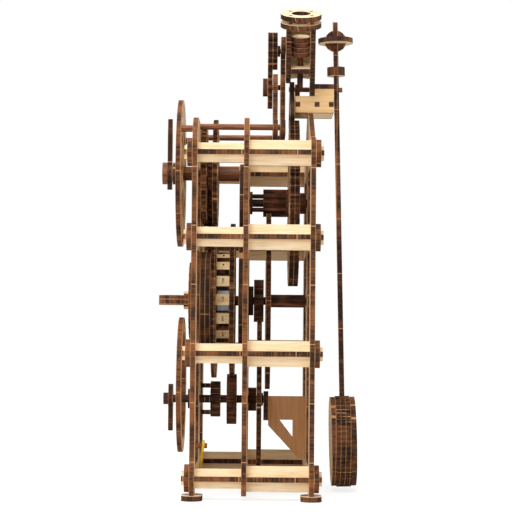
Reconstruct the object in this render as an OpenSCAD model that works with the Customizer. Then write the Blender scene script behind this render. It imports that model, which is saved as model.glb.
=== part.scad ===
// Wooden clock kit with a long pendulum, seen from its side: dial towards -Y, pendulum towards +Y.
// Z is up and the feet stand on z = 0. Millimetres.

/* [Plywood] */
// Thickness of one sheet
ply = 3; // [2.6:0.1:3.4]

/* [Frame] */
// Width of the frame plates
frame_w = 160; // [150:1:180]
// Width of a frame leg
leg_w = 15; // [13:0.5:18]
// Room between the front and middle plates
front_bay = 26.9; // [26.5:0.1:30]
// Room between the middle and back plates
rear_bay = 35.8; // [35.5:0.1:40]
// Rise of the front and middle plates' top edge above the dial arbor
top_rise = 27.85; // [27:0.5:31]
// Height of the lowest beams
beam_d_z = 12.5; // [12:0.5:14]
// Height of the second beams
beam_c_z = 84.5; // [82:0.5:87]
// Height of the third beams
beam_b_z = 152; // [150:0.5:154]
// Height of the top beams
beam_a_z = 201; // [199:0.5:203]
// Height of a beam behind the middle plate
beam_back_h = 15; // [14:0.5:16]
// Height of a beam in front of the middle plate
beam_front_h = 11.5; // [10:0.5:12.5]
// Height of a beam's end tenon
tenon_h = 8; // [7:0.5:9]
// Length of tenon that stands out of a washer
tenon_tip = 1.7; // [1:0.1:3]
// Diameter of the washers on the beam ends
washer_d = 16; // [14:0.5:18]
// Width of a foot from front to back
foot_w = 12; // [10:0.5:14]
// Length of a foot across the frame
foot_l = 22; // [20:1:26]

/* [Wheels] */
// Module of the going train
gear_m = 1.5; // [1.46:0.01:1.5]
// Height of the barrel arbor
barrel_z = 116.4; // [115:0.2:117]
// Teeth of the great wheel
great_n = 62; // [60:2:62]
// Teeth of the third pinion
third_pin_n = 19; // [18:1:20]
// Teeth of the third wheel
third_wheel_n = 65; // [64:1:65]
// Leaves of the second pinion
second_pin_n = 16; // [16:1:17]
// Teeth of the second wheel
second_wheel_n = 71; // [70:1:71]
// Leaves of the escape pinion
escape_pin_n = 10; // [10:1:11]
// Teeth of the dial wheel
dial_n = 43; // [42:1:43]
// Teeth of the escape wheel
escape_n = 59; // [55:2:61]
// Diameter of the escape wheel over its teeth
escape_d = 103; // [101:0.5:103]
// Module of the motion work
motion_m = 1.25; // [1.2:0.01:1.25]
// Play between meshing teeth
backlash = 0.35; // [0.3:0.05:0.5]

/* [Arbors] */
// Radius of the winding arbor
wind_r = 3; // [2.5:0.1:3.5]
// Radius of the train arbors
arbor_r = 2.4; // [2:0.1:2.6]
// Outer radius of the hour pipe
pipe_r = 4.3; // [4:0.1:4.6]
// Running clearance of an arbor in its bore
run_fit = 0.06; // [0.04:0.01:0.1]

/* [Dials] */
// Diameter of the dial
dial_d = 91; // [88:1:96]
// Width of the dial ring
dial_ring_w = 15.5; // [14:0.5:17]
// Room between the front plate and the dial
dial_gap = 8.3; // [7.5:0.1:9]
// Length of the minute hand
minute_l = 34; // [30:1:40]
// Length of the hour hand
hour_l = 24; // [20:1:28]
// Diameter of the lower ring
lower_d = 83; // [80:1:86]
// Rise of the lower ring's centre above the third arbor
lower_rise = 8.65; // [7.5:0.05:10]
// Room between the front plate and the lower ring
lower_gap = 6.8; // [6.4:0.1:7.4]

/* [Winding] */
// Reach of the key in front of the front plate
key_reach = 22.6; // [22:0.1:26]
// Width of the key's thumb piece
key_w = 18; // [14:0.5:18]
// Diameter of the ratchet wheel
ratchet_d = 47; // [44:1:48]
// Teeth of the ratchet wheel
ratchet_n = 24; // [20:4:28]
// Diameter of the barrel
barrel_d = 60; // [56:1:62]

/* [Pendulum] */
// Rise of the pendulum's pivot above the escape arbor
pallet_rise = 71.05; // [70.5:0.05:72]
// Distance from the pivot to the middle of the bob
pend_l = 218; // [212:1:218]
// Diameter of the bob's plain discs
bob_d = 54.6; // [50:0.5:55]
// Diameter of the bob's toothed discs
bob_rim_d = 55.8; // [55.2:0.2:56]
// Width of the pendulum rod
rod_w = 5; // [4:0.5:7]
// Lean of the pendulum rod away from the frame
rod_tilt = 1.4; // [0:0.1:1.6]
// Diameter of the disc above the pivot
top_disc_d = 21.6; // [18:0.5:23]
// Diameter of the small disc above the pivot
small_disc_d = 11; // [9:0.5:13]

/* [Engine] */
// Lean of the engine cylinder towards the side
cyl_lean = 22.4; // [20:0.2:24]
// Diameter of the cylinder's head rings
head_d = 24.8; // [23:0.2:26]
// Bore of the head rings
head_bore = 11.4; // [10:0.2:12]
// Length of the cylinder from its floor to its head
cyl_l = 27; // [25:0.5:30]
// Travel of the piston each way
piston_travel = 3; // [2:0.5:3.5]

/* [Hidden] */
$fn = 48;

// Colours of laser-cut plywood: faces, burnt edges and darker inner pieces
face_tan = "#dcb680";
pale_tan = "#ecd0a0";
dark_tan = "#a8794a";
burnt = "#7a4a2c";

// Plates from front to back
fit = 0.05;
clear = 0.4;
depth = 3 * ply + front_bay + rear_bay;
back_reach = 28.2;
front_y0 = -(key_reach + depth + back_reach) / 2 + key_reach;
front_y1 = front_y0 + ply;
mid_y0 = front_y1 + front_bay;
mid_y1 = mid_y0 + ply;
back_y0 = mid_y1 + rear_bay;
back_y1 = back_y0 + ply;

// Arbor heights, from the tooth counts
tooth_add = 0.8;
tooth_ded = 1.05;
third_z = barrel_z - gear_m * (great_n + third_pin_n) / 2;
second_z = third_z + gear_m * (third_wheel_n + second_pin_n) / 2;
escape_z = second_z + gear_m * (second_wheel_n + escape_pin_n) / 2;
dial_z = barrel_z + gear_m * (great_n + dial_n) / 2;
pivot_z = escape_z + pallet_rise;
plate_top = dial_z + top_rise;
lower_z = third_z + lower_rise;
motion_c = motion_m * 30;
motion_x = -motion_c * 0.8;
motion_z = dial_z - motion_c * 0.6;

// Wheel planes from front to back
hour_y = front_y1 + 0.6;
motion_y = hour_y + ply + clear;
dial_wheel_y = motion_y + ply + clear;
great_y = mid_y0 - 5.4 - ply;
cap_y = front_y1 + 0.6;
second_y = mid_y1 + 10.5;
third_y = mid_y1 + 5.4;
second_pin_y = mid_y1 + ply + 0.3;
escape_y = back_y0 - 5.5 - 2 * ply;
dial_y = front_y0 - dial_gap - ply;
hour_hand_y = dial_y - 0.5 - ply;
minute_hand_y = hour_hand_y - clear - ply;
lower_y = front_y0 - lower_gap - ply;
lower_hand_y = lower_y - 3.4 - ply;
ratchet_y = front_y0 - 0.7 - ply;
bearing_y = third_y + ply + 1.3;

// Planes of the engine cylinder
cyl_half = 7.4;
cyl_y = (back_y0 + mid_y1) / 2 + 12.6;
cyl_y0 = cyl_y - cyl_half - ply / 2;

// Beam places
beam_x = frame_w / 2 - leg_w / 2;
beam_levels = [beam_a_z, beam_b_z, beam_c_z, beam_d_z];
beam_places = [for (side = [-1, 1]) for (z = beam_levels) [side * beam_x, z]];
beam_mid = (front_y0 + back_y1) / 2;

// A flat piece parallel to the frame plates, drawn in width and height
module slab(y, t = ply, x = 0, z = 0) {
    translate([x, y + t, z]) rotate([90, 0, 0]) linear_extrude(t) children();
}

// A round rod along Y
module rod(y0, y1, r, x = 0, z = 0) {
    translate([x, y1, z]) rotate([90, 0, 0]) cylinder(r = r, h = y1 - y0);
}

// A round-ended bar between two points
module bar2d(p, q, w) {
    d = q - p;
    translate(p) circle(d = w);
    translate(q) circle(d = w);
    translate(p) rotate(atan2(d[1], d[0])) translate([0, -w / 2]) square([norm(d), w]);
}

// A rectangle with round corners, from its lower left to its upper right corner
module round_rect(p, q, r) {
    translate([p[0] + r, p[1]]) square([q[0] - p[0] - 2 * r, q[1] - p[1]]);
    translate([p[0], p[1] + r]) square([q[0] - p[0], q[1] - p[1] - 2 * r]);
    for (x = [p[0] + r, q[0] - r]) for (y = [p[1] + r, q[1] - r]) translate([x, y]) circle(r);
}

// Involute teeth: the angle between the base circle and radius r, and half a tooth's angle there
pressure = 25;
function involute(rb, r) = let (t = acos(min(1, rb / r))) tan(t) * 180 / PI - t;
function half_tooth(n, m, r) = let (rp = m * n / 2, rb = rp * cos(pressure))
    90 / n - backlash / 4 / rp * 180 / PI + involute(rb, rp) - involute(rb, max(r, rb));
function polar(r, a) = [r * cos(a), r * sin(a)];
function tooth_points(n, m, a, steps) = let (
        r0 = m * (n / 2 - tooth_ded),
        r1 = m * (n / 2 + tooth_add),
        rb = min(r1, max(r0, m * n / 2 * cos(pressure))),
        radii = concat([r0], [for (i = [0:steps]) rb + (r1 - rb) * i / steps]))
    concat([for (r = radii) polar(r, a - half_tooth(n, m, r))],
        [for (i = [len(radii) - 1:-1:0]) polar(radii[i], a + half_tooth(n, m, radii[i]))]);

// An involute gear outline with one tooth centred at angle phase
module gear2d(n, m, phase, steps = 2) {
    polygon([for (i = [0:n - 1]) for (p = tooth_points(n, m, phase + 360 * i / n, steps)) p]);
}

// Windows of a spoked wheel: a ring between hub and rim, less its spokes
module windows2d(hub, rim, spokes, w, turn = 0) {
    difference() {
        circle(rim);
        circle(hub);
        for (i = [0:spokes - 1]) rotate(turn + 360 * i / spokes) translate([0, -w / 2])
            square([rim + 1, w]);
    }
}

// The + shaped hole that a beam's tenons pass through
module beam_hole(w, play = fit) {
    square([w + 2 * play, ply + 2 * play], center = true);
    square([ply + 2 * play, w + 2 * play], center = true);
}

// Frame plates

// Windows on each side of the spine lie between neighbouring beam levels
spine_w = 26;
bar_h = 13;
corner_r = 22;
shoulder_r = 7;
boss_r = 17;
bar_lo = beam_d_z - bar_h / 2;
win_x1 = frame_w / 2 - leg_w;
win_levels = [for (i = [0:2]) [beam_levels[i + 1] + bar_h / 2, beam_levels[i] - bar_h / 2]];
spacer_r = 1.8;
spacer_x = 30;
spacer_z = plate_top - 2;
stud_r = 2;

module plate2d(top, corner, toes) {
    difference() {
        union() {
            round_rect([-frame_w / 2, bar_lo], [frame_w / 2, top], corner);
            for (side = [0, 1]) mirror([side, 0]) {
                translate([frame_w / 2 - leg_w, ply]) square([leg_w, corner_r + bar_lo]);
                // the middle plate stands clear of the table, so its toe ends within its leg
                translate([beam_x - toe_w / 2, toes ? toe_lift : 2 * ply]) square([toe_w, ply]);
            }
            for (z = [third_z, barrel_z, escape_z]) translate([0, z]) circle(boss_r);
        }
        for (side = [0, 1]) mirror([side, 0]) for (w = win_levels) difference() {
            round_rect([spine_w / 2, w[0]], [win_x1, w[1]], 6);
            for (z = [third_z, barrel_z, escape_z]) translate([0, z]) circle(boss_r);
        }
    }
}
module frame_plate(y, top, hole, corner = corner_r, toes = true) {
    slab(y) difference() {
        plate2d(top, corner, toes);
        for (p = beam_places) translate(p) beam_hole(hole);
    }
}
module arbor_bore(y, r, z, x = 0) {
    rod(y - 1, y + ply + 1, r + run_fit, x, z);
}
module peg_bores(y, r, places) {
    for (p = places) rod(y - 1, y + ply + 1, r + fit, p[0], p[1]);
}
spacer_places = [[-spacer_x, spacer_z], [spacer_x, spacer_z]];
stud_arm_w = 12;
module front_plate() {
    color(face_tan) difference() {
        union() {
            frame_plate(front_y0, plate_top, tenon_h);
            slab(front_y0) bar2d([0, motion_z], [motion_x, motion_z], stud_arm_w);
        }
        arbor_bore(front_y0, wind_r, barrel_z);
        arbor_bore(front_y0, arbor_r, third_z);
        arbor_bore(front_y0, pipe_r, dial_z);
        peg_bores(front_y0, stud_r, [[motion_x, motion_z], click_pivot]);
        peg_bores(front_y0, post_r, concat(dial_posts, lower_posts));
        peg_bores(front_y0, peg_r, band_places);
        peg_bores(front_y0, spacer_r, spacer_places);
    }
}
module middle_plate() {
    color(face_tan) difference() {
        frame_plate(mid_y0, plate_top, beam_front_h, corner_r, false);
        arbor_bore(mid_y0, wind_r, barrel_z);
        arbor_bore(mid_y0, arbor_r, third_z);
        arbor_bore(mid_y0, arbor_r, escape_z);
        arbor_bore(mid_y0, arbor_r, dial_z);
        peg_bores(mid_y0, spacer_r, spacer_places);
    }
}

// The back plate rises to a gable that carries the pendulum bracket
neck_w = 22;
shoulder_z = beam_a_z + 9;
side_z0 = pivot_z - 16.2;
module back_plate() {
    color(face_tan) difference() {
        union() {
            frame_plate(back_y0, shoulder_z, tenon_h, shoulder_r);
            slab(back_y0) {
                polygon([[-win_x1, shoulder_z - 2], [-win_x1, shoulder_z], [-side_x0 - ply, side_z0 - fit],
                    [side_x0 + ply, side_z0 - fit], [win_x1, shoulder_z], [win_x1, shoulder_z - 2]]);
                translate([-side_x0 + fit, side_z0 - 4]) square([2 * side_x0 - 2 * fit, 10]);
            }
        }
        arbor_bore(back_y0, arbor_r, second_z);
        arbor_bore(back_y0, arbor_r, escape_z);
    }
}

// Feet: a round-ended shoe under each leg of the front and back plates
toe_w = 8;
toe_lift = 0.4;
module foot(y) {
    difference() {
        linear_extrude(ply - 0.02) {
            square([foot_l - foot_w, foot_w], center = true);
            for (side = [-1, 1]) translate([side * (foot_l - foot_w) / 2, 0]) circle(d = foot_w);
        }
        translate([-toe_w / 2 - fit, -ply / 2 - fit, -1]) cube([toe_w + 2 * fit, ply + 2 * fit, ply + 2]);
    }
}
module feet() {
    color(face_tan) for (side = [-1, 1]) for (y = [front_y0, back_y0])
        translate([side * beam_x, y + ply / 2, 0]) foot(y);
}

// Cross beams: half of one profile, mirrored to both sides of the beam's centre line
beam_y0 = front_y0 - ply - tenon_tip;
beam_y1 = back_y1 + ply + tenon_tip;
module beam_profile() {
    translate([-tenon_h / 2, beam_y0]) square([tenon_h, beam_y1 - beam_y0]);
    translate([-beam_front_h / 2, front_y1]) square([beam_front_h, mid_y1 - front_y1]);
    translate([-beam_back_h / 2, mid_y1]) square([beam_back_h, rear_bay]);
}
lap_w = ply + 2 * fit;
module beam_flats() {
    color(burnt) for (p = beam_places) translate([p[0], 0, p[1] - ply / 2]) linear_extrude(ply)
        difference() {
            beam_profile();
            translate([-lap_w / 2, beam_y0 - 1]) square([lap_w, beam_mid - beam_y0 + 1]);
        }
}
module beam_uprights() {
    color(pale_tan) for (p = beam_places) translate([p[0] - ply / 2, 0, p[1]]) rotate([0, 90, 0])
        linear_extrude(ply) difference() {
            beam_profile();
            translate([-lap_w / 2, beam_mid - fit]) square([lap_w, beam_y1 - beam_mid + 1]);
        }
}
module beam_washers() {
    color(face_tan) for (p = beam_places) for (y = [front_y0 - ply, back_y1])
        slab(y, ply, p[0], p[1]) difference() {
            circle(d = washer_d);
            beam_hole(tenon_h);
        }
}

// Posts, rings and spacers

post_r = 2;
ring_r0 = dial_d / 2 - dial_ring_w;
post_angles = [35, 145, 257, 283];
post_ring_r = dial_d / 2 - post_r - 1.4;
dial_posts = [for (a = post_angles) [0, dial_z] + polar(post_ring_r, a)];
lower_ring_w = 8.5;
lower_mid_r = lower_d / 2 - lower_ring_w / 2;
lower_post_x = sqrt(lower_mid_r * lower_mid_r - pow(beam_c_z - lower_z, 2));
lower_posts = [for (s = [-1, 1]) [s * lower_post_x, beam_c_z]];
post_in = 1.5;
module front_posts() {
    color(burnt) {
        for (p = dial_posts) rod(dial_y + ply - post_in, front_y1, post_r, p[0], p[1]);
        for (p = lower_posts) rod(lower_y + ply - post_in, front_y1, post_r, p[0], p[1]);
    }
}
module post_sockets(y, places) {
    for (p = places) rod(y + ply - post_in - fit, y + ply + 1, post_r + fit, p[0], p[1]);
}
marker_n = 12;
module dial_ring() {
    color(face_tan) difference() {
        slab(dial_y, ply, 0, dial_z) difference() {
            circle(d = dial_d, $fn = 96);
            windows2d(12, ring_r0, 6, 7, 30);
            circle(pipe_r + 1);
            for (i = [0:marker_n - 1]) rotate(i * 360 / marker_n)
                translate([dial_d / 2 - 9, -0.8]) square([6, 1.6]);
        }
        post_sockets(dial_y, dial_posts);
    }
}
module lower_ring() {
    color(face_tan) difference() {
        slab(lower_y, ply, 0, lower_z) difference() {
            circle(d = lower_d, $fn = 96);
            circle(d = lower_d - 2 * lower_ring_w, $fn = 96);
        }
        post_sockets(lower_y, lower_posts);
    }
}
engine_y1 = cyl_y0;
module top_spacers() {
    color(burnt) for (p = spacer_places) rod(front_y0, engine_y1, spacer_r, p[0], p[1]);
}
module bearing_disc(y, r, bore, z, drop = 0) {
    difference() {
        rod(y, y + ply, r, 0, z - drop);
        arbor_bore(y, bore, z);
    }
}
top_bearing_r = 24;
barrel_bearing_r = 38;
module bearing_discs() {
    color(dark_tan) {
        difference() {
            bearing_disc(mid_y0 - ply, top_bearing_r, arbor_r, escape_z);
            arbor_bore(mid_y0 - ply, arbor_r, dial_z);
        }
        bearing_disc(mid_y0 - ply, barrel_bearing_r, wind_r, barrel_z);
        bearing_disc(mid_y1, 9, arbor_r, second_z);
    }
}

// The third arbor's rear bearing stands on a triangular gusset off the back plate
bearing_r = 9;
bearing_drop = 4;
module third_bearing() {
    color(dark_tan) bearing_disc(bearing_y, bearing_r, arbor_r, third_z, bearing_drop);
}
module gusset() {
    y0 = bearing_y + ply;
    top = third_z + 2;
    low = third_z - 16;
    color(pale_tan) translate([-ply / 2, 0, 0]) rotate([90, 0, 90]) linear_extrude(ply) difference() {
        polygon([[y0, low], [y0, top], [back_y0, top], [back_y0, low - 20], [back_y0 - 4.5, low - 20]]);
        polygon([[y0 + 7, low + 3.5], [back_y0 - 8, low + 3.5], [back_y0 - 8, low - 7]]);
    }
}

// Pendulum bracket

side_x0 = neck_w / 2 + 1.5;
side_z1 = pivot_z - 6;
cap_z0 = pivot_z - 1.5;
cheek_ys = [back_y0 - 8.1, back_y0 + 3.75, back_y0 + 12.6];
side_y0 = cheek_ys[0];
side_y1 = cheek_ys[2] + ply;
pin_r = 1.5;
tab = 3;
tab_z = (side_z0 + side_z1) / 2;
module tab_holes2d() {
    for (y = cheek_ys) translate([y - fit, tab_z - tab / 2 - fit]) square([ply + 2 * fit, tab + 2 * fit]);
}
module bracket_sides() {
    color(pale_tan) for (x = [-side_x0 - ply, side_x0]) translate([x, 0, 0]) rotate([90, 0, 90])
        linear_extrude(ply) difference() {
            union() {
                translate([side_y0, side_z0]) square([side_y1 - side_y0, side_z1 - side_z0]);
                translate([cheek_ys[1], side_z1 - 1]) square([side_y1 - cheek_ys[1], cap_z0 - side_z1 + 1]);
            }
            tab_holes2d();
        }
}
finger = 3.2;
module bracket_cheeks() {
    color(face_tan) for (y = cheek_ys) difference() {
        slab(y) {
            translate([-side_x0 + fit, side_z0 + ply])
                square([2 * side_x0 - 2 * fit, side_z1 - side_z0 - ply]);
            translate([-side_x0 - ply, tab_z - tab / 2]) square([2 * side_x0 + 2 * ply, tab]);
            translate([-finger, side_z1 - 1]) square([2 * finger, pivot_z - side_z1 + 1]);
            translate([0, pivot_z]) circle(r = finger);
        }
        arbor_bore(y, pin_r, pivot_z);
    }
}
module bracket_caps() {
    cap_x0 = finger + 0.4;
    color(face_tan) for (side = [0, 1]) mirror([side, 0, 0])
        translate([cap_x0, cheek_ys[1], cap_z0]) cube([side_x0 + ply - cap_x0, side_y1 - cheek_ys[1], ply]);
}
module bracket_shelf() {
    color(pale_tan) translate([-side_x0 + fit, back_y1 + fit, side_z0])
        cube([2 * side_x0 - 2 * fit, side_y1 - back_y1 - fit, ply - fit]);
}

// Engine mount: two plates on the top spacers

plate_gap = 1.6;
rear_plate_y = cyl_y0 - ply;
engine_plate_y = rear_plate_y - plate_gap - ply;
engine_z = pivot_z + 1.2;
engine_lean = 8;
drive_n = 16;
cam_n = 14;
cam_gap = gear_m * (drive_n + cam_n) / 2;
cam_x = cam_gap * sin(engine_lean);
cam_z = engine_z + cam_gap * cos(engine_lean);
arm_end = [18, cam_z + 2];
arm_w = 7.5;
boss_d = 9;
engine_r = 1.6;
engine_top = engine_z + 7.2;
module engine_plate2d() {
    bar2d([-spacer_x, spacer_z], [spacer_x, spacer_z], 9);
    translate([-11, spacer_z]) square([22, engine_z - spacer_z]);
    intersection() {
        translate([0, engine_z]) circle(11);
        translate([-12, spacer_z]) square([24, engine_top - spacer_z]);
    }
}
module engine_plate() {
    color(face_tan) difference() {
        slab(engine_plate_y) engine_plate2d();
        peg_bores(engine_plate_y, spacer_r, spacer_places);
        arbor_bore(engine_plate_y, engine_r, engine_z);
    }
}
// The arm's bars are narrower than the round bosses at their ends
module rear_arm2d() {
    bosses = [[0, engine_z], [cam_x, cam_z], arm_end];
    for (p = bosses) translate(p) circle(d = boss_d);
    for (i = [0, 1]) {
        d = bosses[i + 1] - bosses[i];
        translate(bosses[i]) rotate(atan2(d[1], d[0])) translate([0, -arm_w / 2]) square([norm(d), arm_w]);
    }
}
module engine_rear_plate() {
    color(face_tan) difference() {
        slab(rear_plate_y) {
            engine_plate2d();
            rear_arm2d();
        }
        peg_bores(rear_plate_y, spacer_r, spacer_places);
        arbor_bore(rear_plate_y, engine_r, engine_z);
        arbor_bore(rear_plate_y, engine_r, cam_z, cam_x);
    }
}

// Engine cylinder, leaning to the side; its own z runs up the bore

cyl_x = 12;
cyl_z = pivot_z - 3.2;
floor_z = 14;
head_z = floor_z + cyl_l;
cheek_x0 = -7.8;
cheek_x1 = 9.5;
notch_n = 14;
module leaning() {
    translate([cyl_x, cyl_y, cyl_z]) rotate([0, cyl_lean, 0]) children();
}
module cylinder_cheek2d() {
    pitch = (head_z - floor_z + 4) / notch_n;
    difference() {
        translate([cheek_x0, floor_z - 6]) square([cheek_x1 - cheek_x0, head_z - floor_z + 6]);
        for (i = [0:notch_n - 1]) translate([cheek_x1 - 1, floor_z - 4 + i * pitch])
            square([2, pitch * 0.4]);
    }
}
module cylinder_cheeks() {
    color(burnt) difference() {
        leaning() {
            for (s = [-1, 1]) slab(s * cyl_half - ply / 2) cylinder_cheek2d();
            slab(cyl_half - ply / 2) translate([-1, -4]) square([5, floor_z]);
        }
        translate([0, cyl_y, side_z1 - 20]) cube([60, 30, 20]);
    }
}
shell_r = head_d / 2 - 0.2;
shell_from = 135.5;
shell_turn = 89;
module cylinder_shell() {
    color(pale_tan) leaning() translate([0, 0, floor_z - 8]) rotate([0, 0, shell_from])
        rotate_extrude(angle = shell_turn) translate([shell_r - 1, 0]) square([1, head_z - floor_z + 8]);
}
module cylinder_floor() {
    inner = cyl_half - ply / 2 - fit;
    color(face_tan) leaning() difference() {
        translate([cheek_x0, -inner, floor_z]) cube([cheek_x1 - cheek_x0, 2 * inner, ply]);
        translate([0, 0, floor_z - 1]) cylinder(r = conrod_r + 0.4, h = ply + 2);
    }
}
ring_gap = 2.2;
bolt_n = 4;
bolt_c = (head_d + head_bore) / 4;
module head_ring() {
    difference() {
        cylinder(d = head_d, h = ply);
        translate([0, 0, -1]) cylinder(d = head_bore, h = ply + 2);
        for (i = [0:bolt_n - 1]) rotate(45 + i * 360 / bolt_n) translate([bolt_c, 0, -1])
            cylinder(r = bolt_r + fit, h = ply + 2);
    }
}
module head_rings() {
    color(face_tan) leaning() {
        translate([0, 0, head_z]) head_ring();
        translate([0, 0, head_z + ply + ring_gap]) head_ring();
    }
}
bolt_r = 1.1;
module head_bolts() {
    color(burnt) leaning() for (i = [0:bolt_n - 1]) rotate(45 + i * 360 / bolt_n)
        translate([bolt_c, 0, head_z]) cylinder(r = bolt_r, h = 2 * ply + ring_gap - 0.6);
}

// Yellow rubber band at the lower left, looped on two pegs of the front plate

peg_r = 1.5;
band_t = 0.75;
band_places = [[frame_w / 2 - leg_w + 3, beam_d_z + 18.5], [frame_w / 2 - leg_w - 7, beam_d_z + 1]];
peg_reach = 7;
module band_pegs() {
    color(burnt) for (p = band_places) rod(front_y0, front_y1 + peg_reach, peg_r, p[0], p[1]);
}
band_ys = [front_y1 + 4.6, front_y1 + 2.2];
band_in = peg_r + 0.3;
module yellow_band() {
    d = band_places[0] - band_places[1];
    rise = band_ys[0] - band_ys[1];
    run = norm([norm(d), rise]);
    color("#e8c21a") translate([band_places[1][0], band_ys[1], band_places[1][1]])
        rotate([0, -atan2(d[1], d[0]), 0]) rotate([0, 0, atan2(rise, norm(d))]) rotate([90, 0, 0]) {
            for (s = [-1, 1]) translate([0, s * (band_in + band_t), 0]) rotate([0, 90, 0])
                cylinder(r = band_t, h = run);
            rotate([0, 0, 90]) band_end();
            translate([run, 0, 0]) rotate([0, 0, -90]) band_end();
        }
}
module band_end() {
    rotate_extrude(angle = 180) translate([band_in + band_t, 0]) circle(r = band_t);
}

// Winding

wind_hub = 6;
drum_y0 = dial_wheel_y + ply;
drum_l = great_y - drum_y0;
key_y = front_y0 - key_reach;
key_l = 18;
key_collar = 2.6;
module winding_arbor() {
    color(burnt) {
        rod(key_y + key_l - 6, mid_y1 - 0.3, wind_r, 0, barrel_z);
        rod(drum_y0 + 0.4, great_y - 0.4, wind_hub, 0, barrel_z);
    }
}
module winding_key() {
    r = key_w / 2;
    color(face_tan) difference() {
        union() {
            translate([0, key_y + r, barrel_z - ply]) cylinder(r = r, h = 2 * ply);
            translate([-r * 0.7, key_y + r, barrel_z - ply]) cube([r * 1.4, key_l - r, 2 * ply]);
            rod(key_y + key_l - key_collar, ratchet_y - 0.05, 5.5, 0, barrel_z);
        }
        rod(key_y + key_l - 6 - fit, ratchet_y + 1, wind_r + fit, 0, barrel_z);
        translate([0, key_y + r * 0.8, barrel_z - ply - 1]) cylinder(r = 2.4, h = 2 * ply + 2);
    }
}
ratchet_depth = 3;
ratchet_tip = 13 / 15;
ratchet_phase = -105;
module ratchet2d() {
    r1 = ratchet_d / 2;
    r0 = r1 - ratchet_depth;
    pitch = 360 / ratchet_n;
    polygon([for (i = [0:ratchet_n - 1]) for (p = [[r0, 0], [r1, ratchet_tip], [r1, 1]])
        polar(p[0], ratchet_phase + pitch * (i + p[1]))]);
}
module ratchet_wheel() {
    color(face_tan) slab(ratchet_y, ply, 0, barrel_z) difference() {
        ratchet2d();
        windows2d(8.5, ratchet_d / 2 - 7.5, 5, 4);
        circle(wind_r + fit);
    }
}

// The click's nose rests behind a tooth; it pivots on a post beside the spine
click_pivot = [11.5, barrel_z - ratchet_d / 2 - 4.9];
motion_reach = motion_y + ply + 1 - front_y1;
nose_r = ratchet_d / 2 - ratchet_depth + 0.7;
module click() {
    nose = polar(nose_r, ratchet_phase + 1.4);
    heel = polar(ratchet_d / 2 + 1.6, ratchet_phase + 1.4);
    back = polar(ratchet_d / 2 + 1.6, ratchet_phase + 10);
    c = [0, barrel_z];
    arm = polar(ratchet_d / 2 + 3, ratchet_phase + 6);
    color(pale_tan) difference() {
        union() {
            slab(ratchet_y) polygon([c + nose, c + back, c + arm, c + heel]);
            slab(ratchet_y) polygon([c + back, c + arm, click_pivot - [0, 1.8], click_pivot + [0, 1.8]]);
            rod(ratchet_y, ratchet_y + ply, 3.6, click_pivot[0], click_pivot[1]);
        }
        arbor_bore(ratchet_y, stud_r, click_pivot[1], click_pivot[0]);
    }
}
module click_post() {
    color(burnt) {
        rod(ratchet_y - 2.4, front_y1, stud_r, click_pivot[0], click_pivot[1]);
        rod(ratchet_y - 3.9, ratchet_y - 0.3, stud_r + 1.2, click_pivot[0], click_pivot[1]);
        rod(front_y0, front_y1 + motion_reach, stud_r, motion_x, motion_z);
    }
}

// Going barrel on the winding arbor
drum_r = barrel_d / 2;
slat_n = 16;
slat_w = 6.8;
slat_t = 4;
slat_slot = 1;
hub_r = 11;
module great_wheel() {
    rim = gear_m * great_n / 2 - 5;
    color(face_tan) difference() {
        slab(great_y, ply, 0, barrel_z) difference() {
            gear2d(great_n, gear_m, 90);
            windows2d(drum_r + 1, rim, 8, 6);
        }
        arbor_bore(great_y, wind_r, barrel_z);
    }
}
module barrel_drum() {
    color(pale_tan) translate([0, 0, barrel_z]) for (i = [0:slat_n - 1]) rotate([0, i * 360 / slat_n, 0])
        translate([drum_r - slat_t - 0.5, drum_y0 + 0.02, -slat_w / 2]) difference() {
            cube([slat_t, drum_l - 0.04, slat_w]);
            translate([slat_t - 1, drum_l / 2 - slat_slot / 2, slat_w * 0.25])
                cube([2, slat_slot, slat_w / 2]);
        }
}
module barrel_caps() {
    color(dark_tan) difference() {
        union() {
            slab(cap_y, 2 * ply, 0, barrel_z) difference() {
                circle(drum_r);
                windows2d(hub_r + 2, drum_r - 5, 6, 5);
            }
            slab(dial_wheel_y, ply, 0, barrel_z) difference() {
                gear2d(great_n, gear_m, 90);
                windows2d(drum_r + 1, gear_m * great_n / 2 - 5, 8, 6);
            }
            rod(cap_y + 2 * ply - 0.1, dial_wheel_y + 0.1, hub_r, 0, barrel_z);
        }
        rod(cap_y - 1, drum_y0 + 1, wind_r + run_fit, 0, barrel_z);
    }
}
spring_turns = 5;
spring_t = 0.9;
spring_r0 = wind_hub + 1;
spring_r1 = drum_r - slat_t - 0.5 - spring_t - 0.3;
module mainspring() {
    n = 24 * spring_turns;
    function r(i) = spring_r0 + (spring_r1 - spring_r0) * i / n;
    color("#c9a227") slab(drum_y0 + 0.6, drum_l - 1.2, 0, barrel_z) polygon(concat(
        [for (i = [0:n]) polar(r(i), i * 15)],
        [for (i = [n:-1:0]) polar(r(i) + spring_t, i * 15)]));
}

// Third arbor

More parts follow.
